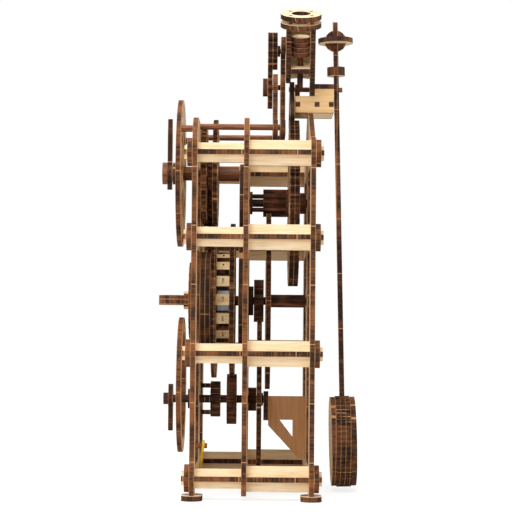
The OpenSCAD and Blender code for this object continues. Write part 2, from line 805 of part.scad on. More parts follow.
module spoked_wheel(y, n, phase, z, bore, spokes = 7) {
    rim = gear_m * n / 2 - 5.5;
    color(face_tan) difference() {
        slab(y, ply, 0, z) difference() {
            gear2d(n, gear_m, phase);
            windows2d(13, rim, spokes, 6, 90);
        }
        rod(y - 1, y + ply + 1, bore + fit, 0, z);
    }
}
third_pin_y = great_y - 1.5;
box_h = 14;
box_w = 11;
box_l = third_y - mid_y1 - 0.5;
module third_arbor() {
    color(burnt) {
        rod(lower_hand_y - ply + 0.4, bearing_y + ply, arbor_r, 0, third_z);
        rod(lower_hand_y - ply, lower_hand_y - 0.02, 3.6, 0, third_z);
        slab(third_pin_y, 2 * ply, 0, third_z) gear2d(third_pin_n, gear_m, 90 + 180 / third_pin_n);
        rod(third_y + ply + 0.05, bearing_y - 0.3, 4, 0, third_z);
        translate([-ply / 2, mid_y1 + 0.4, third_z - box_h / 2]) cube([ply, box_l, box_h]);
        for (z = [-box_h / 2, box_h / 2 - ply]) translate([-box_w / 2, mid_y1 + 0.4, third_z + z])
            cube([box_w, box_l, ply]);
    }
}
module third_wheel() {
    spoked_wheel(third_y, third_wheel_n, 90, third_z, arbor_r);
}
friction_n = 13;
cage_r = 8.2;
cage_pin_r = 1.4;
third_gear_y = third_pin_y - 4 - 2 * ply;
module third_gear() {
    color(face_tan) difference() {
        union() {
            slab(third_gear_y, 2 * ply, 0, third_z) gear2d(friction_n, gear_m, 0);
            for (a = [90:90:360]) rod(front_y1 + 0.6, third_gear_y + 0.5, cage_pin_r,
                cage_r * cos(a), third_z + cage_r * sin(a));
        }
        rod(front_y1, mid_y0, arbor_r + fit, 0, third_z);
    }
}
hand_l = 19.8;
module lower_hand() {
    color(burnt) difference() {
        slab(lower_hand_y, ply, 0, third_z) {
            bar2d([0, 0], [0, -hand_l + 2], 4);
            bar2d([0, 0], [0, 7], 4);
            circle(5.2);
        }
        rod(lower_hand_y - 1, lower_hand_y + ply + 1, arbor_r + fit, 0, third_z);
    }
    color(burnt) difference() {
        rod(front_y0 - 4, front_y0 - 0.4, 6, 0, third_z);
        rod(front_y0 - 5, front_y0 + 1, arbor_r + fit, 0, third_z);
    }
}

// Second arbor

module second_arbor() {
    color(burnt) {
        rod(mid_y1 + 0.3, back_y1 + 0.6, arbor_r, 0, second_z);
        slab(second_pin_y, 2 * ply, 0, second_z) gear2d(second_pin_n, gear_m, -90 + 180 / second_pin_n, 3);
        for (a = [45:90:315]) rod(second_y + ply + 0.1, back_y0 - 0.6, 1.5,
            3.4 * cos(a), second_z + 3.4 * sin(a));
    }
}
module second_wheel() {
    spoked_wheel(second_y, second_wheel_n, 90, second_z, arbor_r);
}

// Escape arbor with lantern rods, pinion and a double escape wheel

escape_pin_y = mid_y1 + 8.5;
module escape_arbor() {
    color(burnt) {
        rod(mid_y0 - ply + 0.2, back_y1 + 0.6, arbor_r, 0, escape_z);
        slab(escape_pin_y, escape_y - 1.4 - escape_pin_y, 0, escape_z)
            gear2d(escape_pin_n, gear_m, -90 + 180 / escape_pin_n, 3);
        rod(mid_y1 + 0.4, mid_y1 + 1.9, 7, 0, escape_z);
        for (a = [0:60:300]) rod(mid_y1 + 1.5, escape_pin_y + 0.5, 1.2,
            4.8 * cos(a), escape_z + 4.8 * sin(a));
        rod(escape_y - 1.5, escape_y - 0.02, 8.5, 0, escape_z);
        rod(escape_y + 2 * ply + 0.04, back_y0 - 0.6, 6.5, 0, escape_z);
    }
}
escape_depth = 5.5;
escape_tip = 0.45;
escape_root = 1.5;
module escape2d() {
    r1 = escape_d / 2;
    r0 = r1 - escape_depth;
    polygon([for (i = [0:escape_n - 1]) for (p = [[r0, -escape_root], [r1, -escape_tip],
        [r1, escape_tip], [r0, escape_root]])
        polar(p[0], 90 + 360 * (i + 0.5) / escape_n + p[1] / p[0] * 180 / PI)]);
}
module escape_wheels() {
    color(face_tan) difference() {
        for (k = [0, 1]) slab(escape_y + k * (ply + 0.02), ply, 0, escape_z) difference() {
            escape2d();
            windows2d(12, escape_d / 2 - escape_depth - 4, 7, 6, 90);
        }
        rod(escape_y - 1, escape_y + 3 * ply, arbor_r + fit, 0, escape_z);
    }
}

// Pallet anchor in the plane of the front escape wheel

pallet_span = 7.5;
pallet_a = 90 - 180 * pallet_span / escape_n;
pallet_lift = 1.85;
nose_w = 2;
module pallet_anchor() {
    tip = [0, escape_z] + polar(escape_d / 2 + pallet_lift + nose_w / 2, pallet_a);
    bend = [0, escape_z] + polar(escape_d / 2 + 6, pallet_a - 1.5);
    color(burnt) difference() {
        slab(escape_y) for (side = [0, 1]) mirror([side, 0]) {
            bar2d([0, pivot_z], bend, 4.4);
            bar2d(bend, tip, nose_w);
            translate([0, pivot_z]) circle(r = 4.8);
        }
        rod(escape_y - 1, escape_y + ply + 1, pin_r + fit, 0, pivot_z);
    }
}

// Pendulum: everything below hangs on the pivot pin

pend_y = side_y1 + 0.6 + ply / 2;
bob_z = -pend_l;
rod_top = 40;
module hanging() {
    translate([0, pend_y, pivot_z]) rotate([rod_tilt, 0, 0]) children();
}
module pivot_arbor() {
    color(burnt) rod(escape_y - 0.4, pend_y + ply / 2 + 2.2, pin_r, 0, pivot_z);
}
notch_pitch = 6;
module rod2d() {
    difference() {
        translate([-rod_w / 2, bob_z]) square([rod_w, pend_l + rod_top]);
        for (z = [bob_z + bob_d / 2 + 8:notch_pitch:bob_z + bob_d / 2 + 100]) for (s = [-1, 1])
            translate([s * rod_w / 2, z]) square([0.8, 0.9], center = true);
    }
    circle(r = 4.4);
    translate([0, rod_top]) circle(d = rod_w);
}
module pendulum_rod() {
    color(burnt) difference() {
        hanging() slab(-ply / 2) rod2d();
        rod(pend_y - 6, pend_y + 6, pin_r + fit, 0, pivot_z);
    }
}
bob_core_t = 3 * ply;
module bob_faces() {
    color(face_tan) hanging() for (y = [-bob_core_t / 2 - ply - 0.02, bob_core_t / 2 + 0.02])
        rod(y, y + ply, bob_d / 2, 0, bob_z);
}
bob_n = 60;
module bob_core() {
    groove = 0.4;
    color(burnt) hanging() difference() {
        union() {
            rod(-bob_core_t / 2, bob_core_t / 2, bob_d / 2 - 1, 0, bob_z);
            for (k = [-1, 0, 1]) slab(k * ply - ply / 2 + groove / 2, ply - groove, 0, bob_z)
                polygon([for (i = [0:bob_n - 1]) for (p = [[0.2, 0], [0.3, 1], [0.7, 1], [0.8, 0]])
                    polar(bob_rim_d / 2 - 0.9 + 0.9 * p[1], 360 * (i + p[0]) / bob_n)]);
        }
        translate([-rod_w / 2 - fit, -ply / 2 - fit, bob_z - fit])
            cube([rod_w + 2 * fit, ply + 2 * fit, bob_d]);
    }
}
top_disc_z = 29;
dome_r = 6.6;
module top_disc() {
    color(face_tan) hanging() difference() {
        union() {
            translate([0, 0, top_disc_z]) cylinder(d = top_disc_d, h = ply);
            translate([-ply / 2, 0, top_disc_z + ply / 2]) rotate([90, 0, 90])
                cylinder(r = dome_r, h = ply);
        }
        translate([-rod_w / 2 - fit, -ply / 2 - fit, top_disc_z - 20])
            cube([rod_w + 2 * fit, ply + 2 * fit, 40]);
    }
}
module small_disc() {
    color(face_tan) hanging() difference() {
        translate([0, 0, 8.6]) cylinder(d = small_disc_d, h = 2 * ply - 0.6);
        translate([-rod_w / 2 - fit, -ply / 2 - fit, 0]) cube([rod_w + 2 * fit, ply + 2 * fit, 20]);
    }
}

// Dial work

dial_phase = atan2(motion_z - dial_z, motion_x);
minute_n = 15;
motion_n = 45;
motion_pin_n = 12;
hour_n = 48;
cap_r = 6.8;
module minute_arbor() {
    color(burnt) {
        rod(minute_hand_y - ply, mid_y1 - 0.4, arbor_r, 0, dial_z);
        rod(minute_hand_y - ply, minute_hand_y - 0.02, cap_r, 0, dial_z);
        slab(motion_y, ply, 0, dial_z) gear2d(minute_n, motion_m, dial_phase);
        rod(motion_y + ply - 0.01, dial_wheel_y - 0.02, 4.6, 0, dial_z);
        rod(dial_wheel_y + ply + 0.02, mid_y0 - ply - clear, 4.6, 0, dial_z);
    }
}
module dial_wheel() {
    color(face_tan) difference() {
        slab(dial_wheel_y, ply, 0, dial_z) difference() {
            gear2d(dial_n, gear_m, -90 + 180 / dial_n);
            windows2d(10, gear_m * dial_n / 2 - 5, 6, 5);
        }
        rod(dial_wheel_y - 1, dial_wheel_y + ply + 1, arbor_r + fit, 0, dial_z);
    }
}
module minute_hand() {
    color(burnt) difference() {
        union() {
            slab(minute_hand_y, ply, 0, dial_z) polygon([[-2.2, -10], [-1.6, 0], [-2.8, minute_l - 10],
                [0, minute_l], [2.8, minute_l - 10], [1.6, 0], [2.2, -10]]);
            rod(minute_hand_y, minute_hand_y + ply, cap_r - 1, 0, dial_z);
        }
        rod(minute_hand_y - 1, minute_hand_y + ply + 1, arbor_r + fit, 0, dial_z);
    }
}
module motion_wheel() {
    color(face_tan) difference() {
        union() {
            slab(motion_y, ply, motion_x, motion_z) difference() {
                gear2d(motion_n, motion_m, dial_phase + 180 + 180 / motion_n);
                windows2d(9, 22, 5, 5);
            }
            slab(hour_y, motion_y - hour_y + 0.2, motion_x, motion_z)
                gear2d(motion_pin_n, motion_m, dial_phase + 180 + 180 / motion_pin_n);
        }
        rod(hour_y - 1, motion_y + ply + 1, stud_r + run_fit, motion_x, motion_z);
    }
}
module hour_wheel() {
    color(burnt) difference() {
        union() {
            slab(hour_y, ply, 0, dial_z) difference() {
                gear2d(hour_n, motion_m, dial_phase);
                windows2d(9, 24.5, 6, 5);
            }
            rod(hour_hand_y, hour_y + 0.1, pipe_r, 0, dial_z);
        }
        rod(hour_hand_y - 1, motion_y, arbor_r + run_fit, 0, dial_z);
    }
}
module hour_hand() {
    color(burnt) difference() {
        union() {
            slab(hour_hand_y, ply, 0, dial_z) polygon([[-0.5, -1.9], [-hour_l + 9, -3], [-hour_l, 0],
                [-hour_l + 9, 3], [-0.5, 1.9]]);
            rod(hour_hand_y, hour_hand_y + ply, cap_r, 0, dial_z);
        }
        rod(hour_hand_y - 1, hour_hand_y + ply + 1, pipe_r + fit, 0, dial_z);
    }
}

// Engine gears and piston

drive_y = engine_plate_y - 0.3 - ply;
module engine_drive() {
    color(burnt) {
        slab(drive_y, ply, 0, engine_z) gear2d(drive_n, gear_m, 90 - engine_lean);
        rod(drive_y - ply, drive_y + 0.1, 5.6, 0, engine_z);
        rod(drive_y, cyl_y0 - 0.1, engine_r, 0, engine_z);
    }
}
module engine_cam() {
    color(burnt) {
        slab(drive_y, 2 * ply, cam_x, cam_z) gear2d(cam_n, gear_m, 270 - engine_lean + 180 / cam_n);
        rod(drive_y, cyl_y0 - 0.1, engine_r, cam_x, cam_z);
        rod(drive_y + 2 * ply - 0.1, rear_plate_y - 0.3, 3.4, cam_x, cam_z);
    }
}
piston_r = 5.5;
piston_h = 12;
piston_z = head_z - 2 * piston_travel - piston_h;
conrod_r = 1.8;
conrod_z = piston_travel - 1.6;
module piston() {
    color(burnt) leaning() {
        difference() {
            translate([0, 0, piston_z]) cylinder(r = piston_r, h = piston_h);
            for (k = [1:3]) translate([0, 0, piston_z + k * piston_h / 4 - 0.4]) difference() {
                cylinder(r = piston_r + 1, h = 0.8);
                cylinder(r = piston_r - 0.8, h = 0.8);
            }
        }
        translate([0, 0, conrod_z]) cylinder(r = conrod_r, h = piston_z - conrod_z + 0.1);
    }
}

front_plate();
middle_plate();
back_plate();
feet();
beam_flats();
beam_uprights();
beam_washers();
front_posts();
dial_ring();
lower_ring();
top_spacers();
bearing_discs();
third_bearing();
gusset();
bracket_sides();
bracket_cheeks();
bracket_caps();
bracket_shelf();
engine_plate();
engine_rear_plate();
cylinder_cheeks();
cylinder_shell();
cylinder_floor();
head_rings();
head_bolts();
band_pegs();
yellow_band();
winding_arbor();
winding_key();
ratchet_wheel();
click();
click_post();
great_wheel();
barrel_drum();
barrel_caps();
mainspring();
third_arbor();
third_wheel();
third_gear();
lower_hand();
second_arbor();
second_wheel();
escape_arbor();
escape_wheels();
pallet_anchor();
pivot_arbor();
pendulum_rod();
bob_faces();
bob_core();
top_disc();
small_disc();
minute_arbor();
dial_wheel();
minute_hand();
motion_wheel();
hour_wheel();
hour_hand();
engine_drive();
engine_cam();
piston();
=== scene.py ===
# A laser-cut plywood pendulum clock, seen square on from its side.
import math
import bpy
from mathutils import Matrix, Vector


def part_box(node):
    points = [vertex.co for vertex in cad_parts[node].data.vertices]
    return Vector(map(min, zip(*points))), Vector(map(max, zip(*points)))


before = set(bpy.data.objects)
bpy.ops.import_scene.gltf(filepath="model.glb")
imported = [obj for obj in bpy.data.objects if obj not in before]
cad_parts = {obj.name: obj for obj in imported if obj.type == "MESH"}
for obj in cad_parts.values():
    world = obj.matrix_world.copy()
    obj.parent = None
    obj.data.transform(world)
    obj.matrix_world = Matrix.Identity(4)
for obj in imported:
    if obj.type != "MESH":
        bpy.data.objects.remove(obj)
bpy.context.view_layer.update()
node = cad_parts
MM = 0.001

# The camera stands level with the lower wheels, 1.1 m from the clock's middle, and looks up a little to
# the clock's half height. It is tipped half a degree, as the clock leans in the picture.
photo_px = 512
sensor_mm = 36
focal_px = 1774
camera_distance = 1.100
camera_height = 95.9 * MM
level_px = (257.6, 334.0)
lean_deg = 0.5
look_up = math.atan((level_px[1] - photo_px / 2) / focal_px)
look_aside = math.atan((level_px[0] - photo_px / 2) / focal_px)
lens = bpy.data.cameras.new("camera")
lens.sensor_width = sensor_mm
lens.lens = focal_px * sensor_mm / photo_px
lens.clip_start, lens.clip_end = 0.05, 20
camera = bpy.data.objects.new("camera", lens)
bpy.context.scene.collection.objects.link(camera)
facing = Matrix.Rotation(math.radians(90), 4, "Z") @ Matrix.Rotation(math.radians(90), 4, "X")
camera.matrix_world = (Matrix.Translation((camera_distance, 0, camera_height)) @ facing
                       @ Matrix.Rotation(math.radians(lean_deg), 4, "Z")
                       @ Matrix.Rotation(look_aside, 4, "Y") @ Matrix.Rotation(look_up, 4, "X"))
bpy.context.scene.camera = camera


# Frame plates: three sheets of 3 mm birch plywood, cut out by laser. The cut edge is charred brown to
# black, with pale glue lines and a thin bare arris along each face, and the faces keep the colour of raw
# birch. The plates stand parallel and are held apart by the cross beams.
def linear(hex_colour):
    values = [int(hex_colour[i:i + 2], 16) / 255 for i in (1, 3, 5)]
    return [v / 12.92 if v <= 0.04045 else ((v + 0.055) / 1.055) ** 2.4 for v in values] + [1]


def add(tree, kind, links=(), **settings):
    made = tree.nodes.new(kind)
    for name, value in settings.items():
        setattr(made, name, value)
    for socket, value in dict(links).items():
        if isinstance(value, bpy.types.NodeSocket):
            tree.links.new(value, made.inputs[socket])
        else:
            made.inputs[socket].default_value = value
    return made


def blank_material(name):
    material = bpy.data.materials.new(name)
    material.use_nodes = True
    material.node_tree.nodes.clear()
    return material, material.node_tree


def in_millimetres(tree, place):
    """The piece's own coordinates in millimetres, so that each pattern is given its real size."""
    return add(tree, "ShaderNodeVectorMath", {0: place.outputs["Object"], "Scale": 1 / MM},
               operation="SCALE").outputs[0]


def blend(tree, share, under, over):
    return add(tree, "ShaderNodeMix", {0: share, 6: under, 7: over}, data_type="RGBA").outputs[2]


def looks_along(tree, place, direction):
    """1 where the surface looks along a direction, to within 41 degrees, and 0 elsewhere."""
    smallest_cosine = 0.75
    tilt = add(tree, "ShaderNodeVectorMath", {0: place.outputs["Normal"], 1: direction},
               operation="DOT_PRODUCT")
    level = add(tree, "ShaderNodeMath", {0: tilt.outputs["Value"]}, operation="ABSOLUTE")
    return add(tree, "ShaderNodeMath", {0: level.outputs[0], 1: smallest_cosine},
               operation="GREATER_THAN").outputs[0]


def raw_birch(tree, point, grain, face):
    """Growth rings and fine pores drawn out along the grain, under broad smoke stains."""
    rings_per_mm = 0.5
    pores_per_mm = 2.4
    stains_per_mm = 0.06
    drawn_out = 0.965
    stain_weight = 0.22
    late_wood = (0.80, 0.74, 0.64)
    late_wood_at = 0.24
    early_wood_at = 0.42
    sideways = [1 - drawn_out * abs(g) for g in grain]
    along = add(tree, "ShaderNodeVectorMath", {0: point, 1: sideways}, operation="MULTIPLY").outputs[0]
    rings = add(tree, "ShaderNodeTexNoise", {"Vector": along, "Scale": rings_per_mm, "Detail": 5,
                                             "Roughness": 0.62, "Distortion": 0.5})
    pores = add(tree, "ShaderNodeTexNoise", {"Vector": along, "Scale": pores_per_mm, "Detail": 3})
    smoke = add(tree, "ShaderNodeTexNoise", {"Vector": point, "Scale": stains_per_mm, "Detail": 3})
    streaked = add(tree, "ShaderNodeMath", {0: rings.outputs["Fac"], 1: pores.outputs["Fac"]},
                   operation="MULTIPLY")
    figure = add(tree, "ShaderNodeMath", {0: smoke.outputs["Fac"], 1: stain_weight, 2: streaked.outputs[0]},
                 operation="MULTIPLY_ADD")
    tone = add(tree, "ShaderNodeValToRGB", {"Fac": figure.outputs[0]})
    dark, pale = tone.color_ramp.elements
    bright = linear(face)
    dark.position, dark.color = late_wood_at, [b * late for b, late in zip(bright, late_wood)] + [1]
    pale.position, pale.color = early_wood_at, bright
    return tone.outputs["Color"], pores.outputs["Fac"]


def scorched_cut(tree, point, depth, normal, faces_mm, edge, char):
    """Soot over the plies of a laser-cut edge, with pale nubs and bare arrises."""
    # soot: fine streaks square across the cut, deeper in patches some 12 mm long; the more char, the
    # further the black reaches
    streaks_per_mm = 0.9
    patches_per_mm = 0.085
    drawn_across = 0.94
    flat = [1 - drawn_across * abs(n) for n in normal]
    across = add(tree, "ShaderNodeVectorMath", {0: point, 1: flat}, operation="MULTIPLY")
    streaks = add(tree, "ShaderNodeTexNoise", {"Vector": across.outputs[0], "Scale": streaks_per_mm,
                                               "Detail": 4, "Roughness": 0.68})
    patches = add(tree, "ShaderNodeTexNoise", {"Vector": point, "Scale": patches_per_mm, "Detail": 2})
    both_kinds = add(tree, "ShaderNodeMath", {0: streaks.outputs["Fac"], 1: patches.outputs["Fac"]},
                     operation="ADD")
    soot = add(tree, "ShaderNodeMath", {0: both_kinds.outputs[0], 1: 0.5}, operation="MULTIPLY")
    burn = add(tree, "ShaderNodeValToRGB", {"Fac": soot.outputs[0]})
    black, brown = burn.color_ramp.elements
    black.position, black.color = 0.34 + 0.16 * char, linear("#2E190E")
    brown.position, brown.color = 0.50 + 0.20 * char, linear(edge)

    # plies: three layers to a sheet, each with a darker and a paler half
    layer_mm = ply / 3
    darker_half = 0.74
    paler_half = 1.14
    wave = add(tree, "ShaderNodeMath", {0: depth, 1: 2 * math.pi / layer_mm}, operation="MULTIPLY")
    band = add(tree, "ShaderNodeMath", {0: wave.outputs[0]}, operation="SINE")
    layer = add(tree, "ShaderNodeMapRange", {"Value": band.outputs[0], "From Min": -1,
                                             "To Min": darker_half, "To Max": paler_half})
    layered = add(tree, "ShaderNodeVectorMath", {0: burn.outputs["Color"], "Scale": layer.outputs[0]},
                  operation="SCALE")

    # nubs: pale stripes square across the cut, where small bridges held the piece in its sheet
    nub_spacing = 34
    nub_width = 0.45
    along_cut = [(1 - abs(n)) / nub_spacing for n in normal]
    run = add(tree, "ShaderNodeVectorMath", {0: point, 1: along_cut}, operation="DOT_PRODUCT")
    step = add(tree, "ShaderNodeMath", {0: run.outputs["Value"]}, operation="FRACT")
    nub = add(tree, "ShaderNodeMath", {0: step.outputs[0], 1: nub_width / nub_spacing},
              operation="LESS_THAN")
    colour = blend(tree, nub.outputs[0], layered.outputs[0], linear("#C48E60"))

    # arrises: the outermost strip of the edge along each face stays pale
    arris_mm = 0.2
    arris_paleness = 0.55
    for place_mm in faces_mm:
        arris = add(tree, "ShaderNodeMath", {0: depth, 1: place_mm, 2: arris_mm}, operation="COMPARE")
        bare = add(tree, "ShaderNodeMath", {0: arris.outputs[0], 1: arris_paleness}, operation="MULTIPLY")
        colour = blend(tree, bare.outputs[0], colour, linear("#D3A06A"))
    return colour, streaks.outputs["Fac"]


def bent_sheet(tree, point, centre, axis):
    """The way out of a sheet that is bent around an axis, and the distance from that axis."""
    offset = add(tree, "ShaderNodeVectorMath", {0: point, 1: centre}, operation="SUBTRACT")
    turned = add(tree, "ShaderNodeVectorMath", {0: offset.outputs[0], 1: axis}, operation="CROSS_PRODUCT")
    spoke = add(tree, "ShaderNodeVectorMath", {0: axis, 1: turned.outputs[0]}, operation="CROSS_PRODUCT")
    outward = add(tree, "ShaderNodeVectorMath", {0: spoke.outputs[0]}, operation="NORMALIZE")
    radius = add(tree, "ShaderNodeVectorMath", {0: spoke.outputs[0]}, operation="LENGTH")
    return outward.outputs[0], radius.outputs["Value"]


across_x, across_y, across_z = (1, 0, 0), (0, 1, 0), (0, 0, 1)
ply = 3


def laser_cut_birch(name, normal=across_y, faces_mm=(), grain=across_z, face="#F5DCB8", edge="#8A5530",
                    char=0.5, around=None, marks=None):
    """Plywood with its sheet square to normal, or bent around a centre and an axis; faces_mm are the
    places of the sheet's faces along the normal. Raw birch is pale and satin, and its laser-cut edge is a
    matt scorched brown with soot."""
    edge_roughness = 0.8
    face_roughness = 0.55
    relief_depth = 0.2 * MM
    material, tree = blank_material(name)
    place = add(tree, "ShaderNodeTexCoord")
    point = in_millimetres(tree, place)
    if around:
        outward, depth = bent_sheet(tree, point, *around)
        normal = [1 - abs(a) for a in around[1]]
    else:
        outward = normal
        depth = add(tree, "ShaderNodeVectorMath", {0: point, 1: normal},
                    operation="DOT_PRODUCT").outputs["Value"]
    on_face = looks_along(tree, place, outward)
    face_colour, pores = raw_birch(tree, point, grain, face)
    if marks:
        face_colour = blend(tree, marks(tree, point), face_colour, linear("#4A2816"))
    edge_colour, streaks = scorched_cut(tree, point, depth, normal, faces_mm, edge, char)
    colour = blend(tree, on_face, edge_colour, face_colour)
    relief = add(tree, "ShaderNodeMath", {0: streaks, 1: pores}, operation="ADD")
    bump = add(tree, "ShaderNodeBump", {"Height": relief.outputs[0], "Strength": 0.3,
                                        "Distance": relief_depth})
    shine = add(tree, "ShaderNodeMapRange", {"Value": on_face, "To Min": edge_roughness,
                                             "To Max": face_roughness})
    wood = add(tree, "ShaderNodeBsdfPrincipled", {"Base Color": colour, "Roughness": shine.outputs[0],
                                                  "Normal": bump.outputs[0], "Specular IOR Level": 0.3})
    add(tree, "ShaderNodeOutputMaterial", {"Surface": wood.outputs[0]})
    return material


def dress(material, *names):
    for name in names:
        node[name].data.materials.clear()
        node[name].data.materials.append(material)


def sheet_faces(name, axis=1, count=1):
    """The places in mm of the faces of a node's sheets, from its box's low side."""
    return [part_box(name)[0][axis] / MM + ply * i for i in range(count + 1)]


for plate in ("front_plate", "middle_plate", "back_plate"):
    dress(laser_cut_birch(plate + "_birch", across_y, sheet_faces(plate)), plate)


# Cross beams: eight beams of two crossed plywood strips each, a flat one and an upright one, slotted into
# each other and through the plates. The long charred edges of the flat strips face the side, between the
# pale faces of the upright ones.
dress(laser_cut_birch("beam_flat_birch", across_z, grain=across_y, char=0.62), "beam_flats")
dress(laser_cut_birch("beam_upright_birch", across_x, grain=across_y, face="#F7E0BC"), "beam_uprights")


# Beam washers: sixteen round plywood discs with a + slot, pressed on the beams' tenons against the outer
# plates, so that they lock the beams.
washer_front, washer_back = (corner[1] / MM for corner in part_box("beam_washers"))
washer_faces = [washer_front, washer_front + ply, washer_back - ply, washer_back]
dress(laser_cut_birch("washer_birch", across_y, washer_faces, char=0.55), "beam_washers")


# Feet: four small flat plates of the same plywood, slotted on the plates' toes. They lie on the table and
# show their charred rims.
dress(laser_cut_birch("foot_birch", across_z, grain=across_x, char=0.7), "feet")


# Dial posts and top spacers: round beech sticks, glued in the plates. Turned beech is a shade redder than
# birch, and the ends are cut off by saw and darker.
def beech_dowel(name, side="#8A5433", end="#5E3722"):
    """Dowel along the clock's depth: long fine streaks on its side, and a plain darker end."""
    streaks_per_mm = 1.1
    drawn_out = 0.06
    darkest_streak = 0.42
    palest_streak = 1.5
    relief_depth = 0.2 * MM
    material, tree = blank_material(name)
    place = add(tree, "ShaderNodeTexCoord")
    drawn = add(tree, "ShaderNodeVectorMath", {0: in_millimetres(tree, place), 1: (1, drawn_out, 1)},
                operation="MULTIPLY")
    streak = add(tree, "ShaderNodeTexNoise", {"Vector": drawn.outputs[0], "Scale": streaks_per_mm,
                                              "Detail": 5, "Roughness": 0.65})
    tone = add(tree, "ShaderNodeValToRGB", {"Fac": streak.outputs["Fac"]})
    low, high = tone.color_ramp.elements
    wood = linear(side)[:3]
    low.position, low.color = 0.38, [v * darkest_streak for v in wood] + [1]
    high.position, high.color = 0.66, [min(1, v * palest_streak) for v in wood] + [1]
    colour = blend(tree, looks_along(tree, place, across_y), tone.outputs["Color"], linear(end))
    bump = add(tree, "ShaderNodeBump", {"Height": streak.outputs["Fac"], "Strength": 0.3,
                                        "Distance": relief_depth})
    stick = add(tree, "ShaderNodeBsdfPrincipled", {"Base Color": colour, "Roughness": 0.6,
                                                   "Normal": bump.outputs[0], "Specular IOR Level": 0.35})
    add(tree, "ShaderNodeOutputMaterial", {"Surface": stick.outputs[0]})
    return material


dress(beech_dowel("post_beech"), "front_posts", "top_spacers")


# Dial and lower ring: flat plywood rings in front of the frame, each carried on posts. The laser engraves
# plain marks on their fronts, twelve long ones and the short ones between them, which stay dark brown.
def ring_marks(name, hours, per_hour):
    """Radial marks on a ring's front. Their ends are given as shares of the ring's radius."""
    mark_mm = 0.9
    long_from = 0.68
    short_from = 0.88
    all_to = 0.96
    low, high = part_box(name)
    centre = [(low[i] + high[i]) / 2 / MM for i in (0, 1, 2)]
    radius = (high[0] - low[0]) / 2 / MM

    def engraved(tree, point):
        spoke = add(tree, "ShaderNodeVectorMath", {0: point, 1: centre}, operation="SUBTRACT")
        split = add(tree, "ShaderNodeSeparateXYZ", {0: spoke.outputs[0]})
        flat = add(tree, "ShaderNodeVectorMath", {0: spoke.outputs[0], 1: (1, 0, 1)}, operation="MULTIPLY")
        reach = add(tree, "ShaderNodeVectorMath", {0: flat.outputs[0]}, operation="LENGTH").outputs["Value"]
        angle = add(tree, "ShaderNodeMath", {0: split.outputs["X"], 1: split.outputs["Z"]},
                    operation="ARCTAN2")
        found = 0.0
        for count, inner in ((hours, long_from), (hours * per_hour, short_from)):
            turn = add(tree, "ShaderNodeMath", {0: angle.outputs[0], 1: count / (2 * math.pi), 2: 0.5},
                       operation="MULTIPLY_ADD")
            part = add(tree, "ShaderNodeMath", {0: turn.outputs[0]}, operation="FRACT")
            width = mark_mm * count / (2 * math.pi * radius)
            line = add(tree, "ShaderNodeMath", {0: part.outputs[0], 1: 0.5, 2: width / 2},
                       operation="COMPARE")
            middle = radius * (inner + all_to) / 2
            half = radius * (all_to - inner) / 2
            within = add(tree, "ShaderNodeMath", {0: reach, 1: middle, 2: half}, operation="COMPARE")
            mark = add(tree, "ShaderNodeMath", {0: line.outputs[0], 1: within.outputs[0]},
                       operation="MULTIPLY")
            found = add(tree, "ShaderNodeMath", {0: mark.outputs[0], 1: found},
                        operation="MAXIMUM").outputs[0]
        return found
    return engraved


for ring, hours, per_hour in (("dial_ring", 12, 5), ("lower_ring", 12, 1)):
    dress(laser_cut_birch(ring + "_birch", across_y, sheet_faces(ring), face="#F4DCB0", char=0.4,
                          marks=ring_marks(ring, hours, per_hour)), ring)


# Bearings: plywood discs and a bridge, glued on the plates where the arbors run. They are cut small, so that
# most of what shows of them is their scorched edge. The discs' edge is given a darker brown and more soot
# than the other cuts: partly their real scorch, and partly painted shade for the shadow that their edges lie
# in.
dress(laser_cut_birch("bearing_birch_painted_shade", across_y, sheet_faces("bearing_discs"), edge="#6E3F27", char=0.85),
      "bearing_discs")
dress(laser_cut_birch("bridge_birch", across_y, sheet_faces("third_bearing"), char=0.6), "third_bearing")


# Gusset: a triangular plywood stay that stands square on the back plate. It is seen on its face, which is
# given a darker tan than the other faces as painted shade, for the shadow that falls on it inside the frame.
dress(laser_cut_birch("gusset_birch_painted_shade", across_x, grain=across_z, face="#C08C5C"), "gusset")


# Pendulum bracket: two side plates with a shelf, cheeks and caps, which hold the pendulum's pivot behind
# the back plate. They are slotted into each other and glued.
dress(laser_cut_birch("bracket_side_birch", across_x, grain=across_y, face="#E2BC86"), "bracket_sides")
cheek_faces = [corner[1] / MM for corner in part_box("bracket_cheeks")]
dress(laser_cut_birch("bracket_cheek_birch", across_y, cheek_faces, char=0.6), "bracket_cheeks")
dress(laser_cut_birch("bracket_cap_birch", across_z, grain=across_y, char=0.6), "bracket_caps",
      "bracket_shelf")


# Engine mount: two plywood plates on the top spacers, which carry the small gears and the cylinder. They
# are cut from the same sheet as the frame.
for plate in ("engine_plate", "engine_rear_plate"):
    dress(laser_cut_birch(plate + "_birch", across_y, sheet_faces(plate), char=0.6), plate)


# Engine cylinder: notched cheeks on both sides of a curved back shell, with a floor, and two head rings
# held apart by four bolts of dowel. It leans to the side, and its rings are cut square to its axis.
cylinder_lean = math.radians(22.4)
cylinder_axis = (math.sin(cylinder_lean), 0, math.cos(cylinder_lean))
ring_low, ring_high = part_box("head_rings")
ring_middle = [(a + b) / 2 / MM for a, b in zip(ring_low, ring_high)]
dress(laser_cut_birch("cheek_birch", across_y, edge="#7C492D", char=0.8), "cylinder_cheeks")
dress(laser_cut_birch("bent_birch", around=(ring_middle, cylinder_axis), grain=cylinder_axis,
                      face="#F4DFB6", char=0.4), "cylinder_shell")
dress(laser_cut_birch("head_ring_birch", cylinder_axis, grain=across_y, char=0.6), "head_rings",
      "cylinder_floor")
dress(beech_dowel("bolt_beech", side="#6E432A"), "head_bolts")


